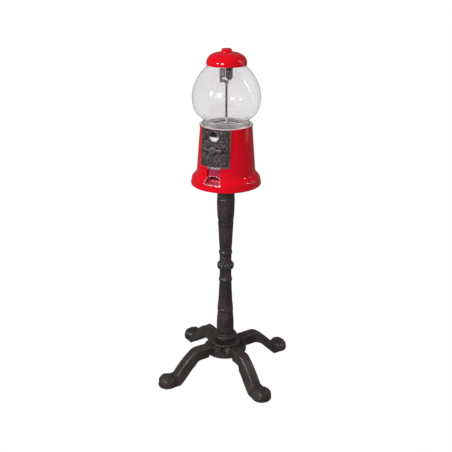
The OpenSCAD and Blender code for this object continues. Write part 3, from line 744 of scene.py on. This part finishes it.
# The leg's upper and lower edge seen from its side: curves of four (distance out, height) points
ROOT_TOP = ((0.0448, 0.0868), (0.058, 0.0915), (0.076, 0.0915), (0.096, 0.0912))
BEND_TOP = ((0.096, 0.0912), (0.112, 0.0870), (0.138, 0.0690), (0.1688, 0.0285))
BEND_UNDER = ((0.098, 0.0563), (0.1216, 0.0572), (0.138, 0.0214), (0.1655, 0.0))
ROOT_UNDER = 0.0565
FOOT_DROP = 3 * MM
# Half the leg's width at its root, and how far the slope's top draws in and its bottom spreads
LEG_HALF = 16.5 * MM
TOP_TAPER = 3.8 * MM
LOW_SPREAD = 8.7 * MM


def leg_stations(reach):
    """Upper and lower edge of the leg's side, as (distance out, height), from the hub into its foot."""
    disc_top = span("hub_disc")[1]
    disc_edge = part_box("hub_disc")[1].x
    root = np.linspace(0, 1, ROOT_ROWS, endpoint=False)
    bend = np.linspace(0, 1, BEND_ROWS, endpoint=False)
    foot = np.linspace(0, 1, FOOT_ROWS)
    foot_at = reach - FOOT_RADIUS
    (top_out, top_height), (low_out, low_height) = BEND_TOP[-1], BEND_UNDER[-1]
    top = np.concatenate([
        bezier(*ROOT_TOP, root),
        bezier(*BEND_TOP, bend),
        np.stack([top_out + foot * (foot_at - top_out), top_height - FOOT_DROP * foot], -1),
    ])
    out = ROOT_TOP[0][0] + root * (BEND_UNDER[0][0] - ROOT_TOP[0][0])
    under = np.where(out < disc_edge + 0.6 * MM, disc_top + 0.2 * MM, ROOT_UNDER)
    bottom = np.concatenate([
        np.stack([out, under], -1),
        bezier(*BEND_UNDER, bend),
        np.stack([low_out + foot * (foot_at - low_out), low_height + 0 * foot], -1),
    ])
    return top, bottom


def leg_face(across, rows):
    """Height of the leg's top at each row and place across, as a share: round, then flat with ridges."""
    row = np.arange(rows)[:, None]
    a = np.abs(across)[None, :]
    slope = ramped(row, ROOT_ROWS - 4.0, ROOT_ROWS + 20.0)
    crest = ramped(row, ROOT_ROWS + 2.0, ROOT_ROWS + 16.0)
    crest = crest * (1 - ramped(row, rows - FOOT_ROWS - 6.0, rows - FOOT_ROWS + 2.0))
    rounded = 1 - 0.26 * (1 - np.sqrt(np.clip(1 - a ** 2, 0, 1)))
    flat_top = 0.97 - 0.05 * a ** 8
    ridge = 0.052 * np.exp(-((a - 0.87) / 0.055) ** 2)
    bead = 0.026 * np.exp(-((a - 0.52) / 0.06) ** 2)
    bead = bead * (1 - ramped(row, ROOT_ROWS + 26.0, ROOT_ROWS + 34.0))
    return (1 - slope) * rounded + slope * flat_top + crest * (ridge + bead), slope


def leg_points(reach):
    """A leg that is round on top at the hub, and on its slope spreads down to wide, leaning sides."""
    top, bottom = leg_stations(reach)
    rows = len(top)
    across = np.concatenate([np.linspace(-1, -0.7, 13), np.linspace(-0.7, 0.7, 19)[1:-1],
                             np.linspace(0.7, 1, 13)])
    face, slope = leg_face(across, rows)
    climb = np.linspace(0, 1, 9)[None, :-1] * face[:, :1]
    left = np.stack([np.full_like(climb, -1.0), climb], -1)
    over = np.stack([np.broadcast_to(across, (rows, len(across))), face], -1)
    right = left[:, ::-1] * np.array([-1, 1])
    low = np.linspace(1, -1, 7)[None, 1:-1]
    under = np.broadcast_to(np.stack([low, np.zeros_like(low)], -1), (rows, low.shape[1], 2))
    section = np.concatenate([left, over, right, under], axis=1)
    rise = section[..., 1]
    wide_top = LEG_HALF - TOP_TAPER * slope
    wide_low = LEG_HALF + LOW_SPREAD * slope
    half = wide_low + (wide_top - wide_low) * np.clip(rise, 0, 1)
    edge = bottom[:, None, :] + (top - bottom)[:, None, :] * rise[..., None]
    return np.stack([half * section[..., 0], -edge[..., 0], edge[..., 1]], -1)


EYE_RADIUS = 5.0 * MM
VOLUTE_RADIUS = 16 * MM
VOLUTE_SPACING = 4.8 * MM
VOLUTE_OUT = 8 * MM
VOLUTE_UP = 13.5 * MM


def winding(u, v, spacing):
    """Distance from a scroll's eye, and a wave from 0 to 1 that winds in towards it."""
    radius, angle = np.hypot(u, v), np.arctan2(v, u)
    return radius, wave(2 * math.pi * (radius / spacing - angle / (2 * math.pi)))


def volute(u, v):
    """Relief of a scroll: a ridge that winds in, and an eye parted by an S-shaped cut."""
    radius, wound = winding(u, v, VOLUTE_SPACING)
    ridge = 1.5 * MM * wound ** 1.3
    ring = ramped(radius, EYE_RADIUS, EYE_RADIUS + 1 * MM)
    ring = ring * (1 - ramped(radius, VOLUTE_RADIUS - 3 * MM, VOLUTE_RADIUS))
    eye = 2.4 * MM * np.sqrt(np.clip(1 - (radius / EYE_RADIUS) ** 2, 0, 1))
    cut = v - 1.4 * MM * np.sin(u / EYE_RADIUS * math.pi)
    return ridge * ring + eye * (1 - 0.8 * np.exp(-(cut / (0.8 * MM)) ** 2))


# The foot's side, in millimetres from its middle and the floor: its sole, then two curves
SOLE = ((20, 0), (25.5, 0), (27.4, 0.8), (28, 2.6))
FOOT_SIDE = ((28, 4.5), (28, 15), (24, 26), (12, 28.7))
FOOT_CROWN = ((12, 28.7), (9, 29.3), (5, 29.5), (0.6, 29.5))
FOOT_COLUMNS = 160


def foot_points(reach):
    """A domed foot with a scroll on each side. Rows climb from the floor, and columns run around."""
    climb = MM * np.concatenate([
        np.array(SOLE),
        bezier(*FOOT_SIDE, np.linspace(0, 1, 34)),
        bezier(*FOOT_CROWN, np.linspace(0, 1, 8)[1:]),
    ])
    length = np.concatenate([[0], np.cumsum(np.hypot(*np.diff(climb, axis=0).T))])
    along = np.gradient(climb, axis=0)
    normal = np.stack([along[:, 1], -along[:, 0]], -1) / np.hypot(*along.T)[:, None]
    angle = steps_around(FOOT_COLUMNS)[None, :]
    radius = climb[:, 0:1] + 0 * angle
    x, out = radius * np.sin(angle), radius * np.cos(angle)
    u = out - VOLUTE_OUT
    v = length[:, None] - length[len(SOLE) - 1] - VOLUTE_UP + 0 * angle
    sides = ramped(np.abs(x), 6 * MM, 12 * MM)
    lift = volute(u, v) * sides * ramped(climb[:, 1:2], 2 * MM, 5 * MM)
    radius = radius + (lift - 1.2 * MM * ramped(climb[:, 1:2], 2 * MM, 4 * MM)) * normal[:, 0:1]
    height = climb[:, 1:2] + lift * normal[:, 1:2]
    out = reach - FOOT_RADIUS + radius * np.cos(angle)
    return np.stack([radius * np.sin(angle), -out, height], -1)


ROOT_NEAR, ROOT_FAR = 21 * MM, 58 * MM
ROOT_HALF = 15.5 * MM
ROOT_TALL = 18 * MM
ROOT_CORNER = 2 * MM


def root_points():
    """The root of a leg, clamped between the hub's flange and its bottom disc."""
    low, high = span("hub_disc")[1], span("hub")[0] + ROOT_TALL
    rows = []
    for y, inset in ((ROOT_NEAR, ROOT_CORNER), (ROOT_NEAR + ROOT_CORNER, 0), (ROOT_FAR, 0)):
        half = ROOT_HALF - inset
        rows.append([(-half, -y, low), (half, -y, low), (half, -y, high - ROOT_CORNER),
                     (half - ROOT_CORNER, -y, high), (-half + ROOT_CORNER, -y, high),
                     (-half, -y, high - ROOT_CORNER)])
    return np.array(rows, float)


def add_legs():
    """Each leg is its arm, its scrolled foot and the root that the hub clamps."""
    for node in ("front_right_leg", "rear_right_leg", "rear_left_leg", "front_left_leg"):
        angle, reach = foot_direction(node)
        as_node(grid_mesh(node + "_arm", turned_by(leg_points(reach), angle), caps=True), STAND, node)
        as_piece(grid_mesh(node + "_foot", turned_by(foot_points(reach), angle), caps=True), STAND, node)
        as_piece(grid_mesh(node + "_root", turned_by(root_points(), angle), caps=True), STAND, node)


# -------------------- globe and lid

GLASS = 3 * MM
MOUTH_RADIUS = 46 * MM
MOUTH_RISE = 5.5 * MM
LIP_DRAW = 2 * MM
FIT_SPAN = 70 * MM
FIT_DEGREE = 8


def globe_profile():
    """Outer and inner wall of the globe as (radius, height), up the outside and down the inside."""
    heights, radii = outline("globe", 0.5 * MM)
    low, high = span("globe")
    neck = radii[0]
    shoulder = heights[np.argmax(radii > neck + 0.5 * MM)]
    upper = heights >= shoulder
    scaled = (heights - high + FIT_SPAN) / FIT_SPAN
    fitted = np.polyval(np.polyfit(scaled[upper], radii[upper], FIT_DEGREE), scaled)
    radii = smoothed(np.where(upper, fitted, neck), 3)
    inner = np.maximum(radii - GLASS, MOUTH_RADIUS)
    bead = 1.8 * MM * np.exp(-((heights - shoulder) / (1.1 * MM)) ** 2)
    top = high + MOUTH_RISE
    throat = radii[-1] - LIP_DRAW
    outside = [*zip(radii + bead, heights), (throat, high + 3 * MM), (throat - 0.3 * MM, top - 1 * MM),
               (throat - 1 * MM, top), (MOUTH_RADIUS + 0.8 * MM, top), (MOUTH_RADIUS, top - 1 * MM)]
    kept = (heights > low + 1 * MM) & (heights < high - 3 * MM)
    inside = list(zip(inner[kept][::-1], heights[kept][::-1]))
    return np.array([*outside, *inside, (inner[0], low), outside[0]])


def add_globe():
    """A blown glass shell with an upright neck and an open mouth."""
    as_node(revolved_shell("globe_blown", globe_profile(), 160), STAND, "globe")


LID_LIFT = 3 * MM
LID_POWER = 2.6
LID_WALL = 2.2 * MM
LID_CROWN = 0.6 * MM
LID_CENTRE = 0.05 * MM
# The lid's rolled edge, in from its radius and down from its lower edge
LID_EDGE = ((2.2 * MM, 0.4 * MM), (1.6 * MM, 0.9 * MM), (0.5 * MM, 0.7 * MM))


def lid_curve(radius, low, high):
    """Radius and height along a flattened dome, from its edge to its top."""
    angle = np.linspace(0, math.pi / 2, 40)
    return np.stack([radius * np.cos(angle) ** (2 / LID_POWER),
                     low + (high - low) * np.sin(angle) ** (2 / LID_POWER)], -1)


def add_lid():
    """A pressed dome with a rolled lower edge."""
    low, top = span("lid")
    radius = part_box("lid")[1].x
    low = low + LID_LIFT
    outside = lid_curve(radius, low, top + LID_CROWN)
    outside[:, 1] = np.minimum(outside[:, 1], top)
    inside = lid_curve(radius - LID_WALL, low, top + LID_CROWN - LID_WALL)[::-1]
    edge = [(radius - inward, low - down) for inward, down in LID_EDGE]
    profile = np.concatenate([outside, inside, edge, outside[:1]])
    profile[:, 0] = np.maximum(profile[:, 0], LID_CENTRE)
    as_node(revolved_shell("lid_domed", profile, 128, weld_gap=0.02 * MM), "lid_and_lock", "lid")


# The seal's section: radius, and height above the globe's lip, in millimetres
SEAL = ((46.4, 0.1), (48.4, 0.1), (48.6, 0.6), (48.2, 1.1), (46.6, 1.1), (46.2, 0.6), (46.4, 0.1))


def add_gasket():
    """A soft ring between the lid and the globe's lip."""
    lip = span("globe")[1] + MOUTH_RISE
    section = np.array(SEAL) * MM + np.array([0, lip])
    # Its pale colour is a painted reflection under the lid.
    as_node(revolved_shell("lid_seal_ring", section, 96), STAND, "lid_gasket", PALE_SEAL_REFLECTION)


SLEEVE_RADII = (4.8 * MM, 4.0 * MM, 3.2 * MM)


def add_sleeve():
    """The slender cone around the foot of the centre rod."""
    low, high = span("rod_sleeve")
    heights = np.linspace(low, high, 30)
    radii = np.interp(heights, (low, between("rod_sleeve", 0.3), high), SLEEVE_RADII)
    as_node(turned("rod_sleeve_turned", heights, radii, 48), STAND, "rod_sleeve", BRIGHT_SLEEVE)


# -------------------- faceplate and handle

SHAFT_Z = sum(v.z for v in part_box("handle")) / 2
PLATE_FACE = 4 * MM
PLATE_EDGE = 2.4 * MM
SKIN_DEPTH = 1.4 * MM
RIM_HEIGHT = 0.9 * MM
COIN_HOLE = 13 * MM
SHAFT_HOLE = 9.5 * MM
# Two heights on the plain cone of the body's side
CONE_LOW, CONE_HIGH = 0.66, 0.72
# Ornament of one half of the plate, in millimetres: x, z, radius and hand of each scroll
SCROLLS = ((23, 706, 12, 1), (26, 682, 11, -1), (17, 667, 9, 1),
           (30, 730, 8.5, -1), (31, 657, 7, -1), (10, 652, 5.5, 1))
# and x, z, length, width and turn of each leaf
LEAVES = ((19, 733, 9, 2.6, 75), (34, 715, 8, 2.2, 100), (12, 712, 7, 2.0, 20), (35, 694, 8, 2.2, 80),
          (14, 678, 8, 2.2, 110), (28, 669, 7, 2.0, 40), (22, 655, 8, 2.0, 10), (36, 670, 7, 2.0, 95),
          (6, 662, 7, 2.0, 60), (36, 740, 6, 1.8, 10))


def spiral_relief(u, v, size, hand):
    """A ridge that winds in to a bead, for a scroll of radius size; in millimetres."""
    radius, wound = winding(u, v * hand, size / 2.6)
    ridge = wound ** 1.6 * (1 - ramped(radius, size * 0.86, size)) * ramped(radius, 1.0, 2.0)
    bead = np.sqrt(np.clip(1 - (radius / 1.7) ** 2, 0, 1))
    return 2.1 * ridge + 2.4 * bead


def leaf_relief(u, v, length, width, turn):
    """A pointed leaf with a vein along it; in millimetres."""
    c, s = math.cos(math.radians(turn)), math.sin(math.radians(turn))
    along, across = (u * c + v * s) / length, np.abs(v * c - u * s) / width
    blade = np.clip(1 - along ** 2 - across, 0, 1) ** 0.6
    return 2.2 * blade * (1 - 0.5 * np.exp(-(across / 0.16) ** 2))


def plate_relief(x, z):
    """Cast ornament of the faceplate: mirrored scrolls and leaves, and a ring at each of its two holes."""
    mm_x, mm_z = x / MM, z / MM
    lift = 0.35 * np.sin(mm_x * 1.6) * np.sin(mm_z * 1.5)
    for side in (-1, 1):
        for cx, cz, size, hand in SCROLLS:
            lift = np.maximum(lift, spiral_relief(side * mm_x - cx, mm_z - cz, size, hand))
        for cx, cz, length, width, turn in LEAVES:
            lift = np.maximum(lift, leaf_relief(side * mm_x - cx, mm_z - cz, length, width, turn))
    coin = np.hypot(mm_x, mm_z - COIN_Z / MM)
    shaft = np.hypot(mm_x, mm_z - SHAFT_Z / MM)
    lift = ringed(lift, coin, radius=15.6, width=1.3, height=1.7, clear=18.5)
    lift = ringed(lift, shaft, radius=12.6, width=0.9, height=1.2, clear=14.5)
    return lift * MM


def ringed(lift, distance, radius, width, height, clear):
    """Clears the ornament around a hole and raises a ring there; in millimetres."""
    return np.where(distance < clear, height * np.exp(-((distance - radius) / width) ** 2), lift)


def body_cone():
    """Radius of the body's side at CONE_LOW, and how much it changes for each metre up."""
    heights, radii = outline("body_shell", 2 * MM)
    low, high = np.interp((CONE_LOW, CONE_HIGH), heights, radii)
    return low, (high - low) / (CONE_HIGH - CONE_LOW)


def shown_plate():
    """The faceplate's front: where each point is, and which points lie in its holes."""
    low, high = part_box("faceplate")
    x = np.linspace(low.x + 0.2 * MM, high.x - 0.2 * MM, 150)
    z = np.linspace(low.z + 0.2 * MM, high.z - 0.4 * MM, 180)
    x, z = np.meshgrid(x, z)
    cone, slope = body_cone()
    front = -np.sqrt((cone + (z - CONE_LOW) * slope + PLATE_FACE) ** 2 - x ** 2)
    edge = np.minimum.reduce([x - x.min(), x.max() - x, z - z.min(), z.max() - z])
    coin = np.hypot(x, z - COIN_Z) - COIN_HOLE
    shaft = np.hypot(x, z - SHAFT_Z) - SHAFT_HOLE
    sunk = SKIN_DEPTH * (1 - ramped(np.minimum.reduce([edge, coin, shaft]), 0.0, 0.9 * MM))
    rim = RIM_HEIGHT * ramped(edge, 0.3 * MM, 0.9 * MM)
    rim = rim * (1 - ramped(edge, PLATE_EDGE, PLATE_EDGE + 0.8 * MM))
    lift = plate_relief(x, z) * ramped(edge, PLATE_EDGE, PLATE_EDGE + 1.2 * MM)
    points = np.stack([x, front - np.maximum(lift, rim) + sunk, z], -1)
    return points, np.minimum(coin, shaft) < -0.2 * MM


def add_faceplate_relief():
    """The ornament is a skin over the CAD plate's front, whose edges run down into the plate."""
    points, hidden = shown_plate()
    mesh = grid_mesh("faceplate_ornament", points, around=False)
    cut = bmesh.new()
    cut.from_mesh(mesh)
    cut.verts.ensure_lookup_table()
    bmesh.ops.delete(cut, geom=[cut.verts[i] for i in np.flatnonzero(hidden.ravel())], context="VERTS")
    bmesh.ops.reverse_faces(cut, faces=cut.faces)
    cut.to_mesh(mesh)
    cut.free()
    cone, slope = body_cone()
    as_piece(mesh, STAND, "faceplate", ornate_casting(cone + PLATE_FACE, CONE_LOW, slope))


def body_radius(z):
    """Radius of the body's outside at each height."""
    heights, radii = outline("body_shell", 0.5 * MM)
    return np.interp(z, heights, radii)


STRIP_HALF = 18.5 * MM
# The strip's section: out from the body, and down from the faceplate, in millimetres
STRIP = ((-2, 0.4), (0, 0.0), (1.2, 0.4), (1.8, 1.8), (1.8, 4.6), (1.2, 6.0), (0, 6.4), (-2, 6.0))


def add_hinge_strip():
    """A rounded strip on the body that covers the top of the delivery opening."""
    top = span("faceplate")[0] - 0.3 * MM
    section = np.array(STRIP) * MM
    x = np.linspace(-STRIP_HALF, STRIP_HALF, 41)[:, None]
    z = top - section[None, :, 1] + 0 * x
    radius = body_radius(z) + section[None, :, 0]
    points = np.stack([x + 0 * z, -np.sqrt(radius ** 2 - x ** 2), z], -1)
    as_piece(grid_mesh("hinge_strip", points, caps=True), STAND, "door_pin", STRIP_REFLECTION_METAL)


FLAP_ARCH = 6 * MM
FLAP_SKIN, FLAP_BACK = 1.8 * MM, 3.4 * MM
LIP_BEAD = 0.9 * MM


def add_door_flap():
    """The flap, with an arched and rolled lower edge."""
    low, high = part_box("chute_door")
    x = np.linspace(low.x, high.x, 49)[:, None]
    front, back = low.y + FLAP_SKIN, low.y + FLAP_BACK
    foot = low.z + FLAP_ARCH * np.cos(x / high.x * math.pi / 2)
    lip = [(front, 1.9), (front - 0.5 * MM, 1.7), (front - 1.0 * MM, 1.1), (front - 1.0 * MM, 0.5),
           (front - 0.5 * MM, 0.1), (back - 0.6 * MM, 0.1), (back, 0.6)]
    y = np.array([front] + [y for y, _ in lip] + [back])[None, :] + 0 * x
    z = np.concatenate([high.z + 0 * x] + [foot + rise * MM for _, rise in lip] + [high.z + 0 * x], axis=1)
    mesh = grid_mesh("door_flap", np.stack([x + 0 * z, y, z], -1), caps=True)
    # Its dark crimson is painted shade and painted reflection.
    as_node(mesh, "door", "chute_door", FLAP_SHADED_PAINT)
    path = np.stack([x[:, 0], 0 * x[:, 0] + front - 0.8 * MM, foot[:, 0] + LIP_BEAD], -1)
    as_piece(tube("flap_rolled_lip", path, LIP_BEAD), "door", "chute_door", ROSY_REFLECTION_METAL)


# The left half of the opening's lower edge, in millimetres: its side, its corner and its floor
TRAY_SIDE = ((-18.6, 17.5), (-19.2, 12), (-21.6, 6), (-22.0, 2))
TRAY_CORNER = ((-22, 2), (-22, 0.6), (-21.4, 0), (-20, 0))
TRAY_BEAD = 1.15 * MM


def add_tray_edge():
    """A bright rolled edge around the lower part of the delivery opening."""
    low = span("tray")[0] + 1 * MM
    side = bezier(*TRAY_SIDE, np.linspace(0, 1, 14))
    corner = bezier(*TRAY_CORNER, np.linspace(0, 1, 6)[1:])
    floor = np.stack([np.linspace(TRAY_CORNER[-1][0], 0, 12)[1:], np.zeros(11)], -1)
    path = MM * np.concatenate([side, corner, floor])
    path = np.concatenate([path, (path * (-1, 1))[::-1][1:]])
    x, z = path[:, 0], low + path[:, 1]
    spots = np.stack([x, -np.sqrt(body_radius(z) ** 2 - x ** 2) - 0.2 * MM, z], -1)
    as_piece(tube("tray_rolled_edge", spots, TRAY_BEAD), STAND, "tray", ROSY_REFLECTION_METAL)


BRACKET_TURN = math.radians(25)
SHEET = 3 * MM
FOOT_DEPTH = 14 * MM
BRACKET_LEFT, BRACKET_RIGHT, FOOT_RIGHT = -18 * MM, -2.9 * MM, 5.4 * MM
SLOT_END = -10.8 * MM
SLOT_PLAY = 0.4 * MM
CORNER = 1.5 * MM


def add_bracket():
    """A folded sheet whose foot is nutted on the rod, with a slot for the lock's cam."""
    low, high = span("lock_bracket")
    cam_low, cam_high = span("lock_cam")
    slot_low, slot_high = cam_low - SLOT_PLAY, cam_high + SLOT_PLAY
    fold = low + SHEET
    left, right = BRACKET_LEFT, BRACKET_RIGHT
    sheet = [(right, fold), (right, slot_low), (SLOT_END, slot_low), (SLOT_END, slot_high),
             (right, slot_high), (right, high - CORNER), (right - CORNER, high),
             (left + CORNER, high), (left, high - CORNER), (left, low)]
    base = [(FOOT_RIGHT, low), (FOOT_RIGHT, fold), (left, fold), (left, low)]
    c, s = math.cos(BRACKET_TURN), math.sin(BRACKET_TURN)
    shape = bmesh.new()
    for side, depth in ((sheet, SHEET), (base, FOOT_DEPTH)):
        ring = [shape.verts.new((x, -depth / 2, z)) for x, z in side]
        face = shape.faces.new(ring)
        pushed = bmesh.ops.extrude_face_region(shape, geom=[face])["geom"]
        for vert in (v for v in pushed if isinstance(v, bmesh.types.BMVert)):
            vert.co.y += depth
    bmesh.ops.recalc_face_normals(shape, faces=shape.faces)
    bmesh.ops.bevel(shape, geom=shape.edges, offset=0.25 * MM, segments=2, affect="EDGES")
    for vert in shape.verts:
        x, y = vert.co.x, vert.co.y
        vert.co.x, vert.co.y = x * c - y * s, x * s + y * c
    mesh = bpy.data.meshes.new("lock_bracket_sheet")
    shape.to_mesh(mesh)
    shape.free()
    as_node(mesh, STAND, "lock_bracket")


# Half the height and depth of the handle's wings, each at distances from its middle, in millimetres
WING_TALL = ((0, 6, 11, 16, 21, 24.5, 27, 27.5), (6.2, 5.2, 4.3, 5.2, 6.5, 5.4, 2.4, 0.3))
WING_DEEP = ((0, 11, 21, 25.5, 27.5), (3.6, 3.0, 3.5, 2.4, 0.2))
WING_MIDDLE = 4.6 * MM
# The domed hub: radius, and depth behind the handle's front, in millimetres
DOME = ((9, 3), (8.6, 1.7), (7.4, 0.9), (5.4, 0.7), (5.0, 1.3), (4.4, 1.3), (4.0, 0.4), (2.4, 0), (0.4, 0))


def add_handle():
    """Two rounded wings and a domed hub."""
    low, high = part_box("handle")
    reach = high.x * np.sin(np.linspace(-math.pi / 2, math.pi / 2, 61))[:, None]
    tall = np.interp(np.abs(reach) / MM, *WING_TALL) * MM
    deep = np.interp(np.abs(reach) / MM, *WING_DEEP) * MM
    angle = steps_around(32)[None, :]
    points = np.stack([
        reach + 0 * angle,
        low.y + WING_MIDDLE + deep * np.cos(angle),
        SHAFT_Z + tall * np.sin(angle),
    ], -1)
    as_node(grid_mesh("handle_wings", points, caps=True), "handle_and_shaft", "handle")
    dome = np.array(DOME) * MM
    dome = np.concatenate([[(dome[0, 0], high.y - low.y)], dome])
    radius, depth = dome[:, 0:1], dome[:, 1:2]
    angle = steps_around(64)[None, :]
    x, z = radius * np.cos(angle), SHAFT_Z + radius * np.sin(angle)
    mesh = grid_mesh("handle_hub", np.stack([x, low.y + depth + 0 * angle, z], -1), caps=True)
    as_piece(mesh, "handle_and_shaft", "handle")


# -------------------- build

add_camera()
add_world()
add_studio()
add_lights()
paint_cad_nodes()
add_column()
add_hub()
add_legs()
add_globe()
add_lid()
add_gasket()
add_sleeve()
add_faceplate_relief()
add_handle()
add_hinge_strip()
add_door_flap()
add_tray_edge()
add_bracket()
bpy.context.scene.view_settings.view_transform = "Standard"
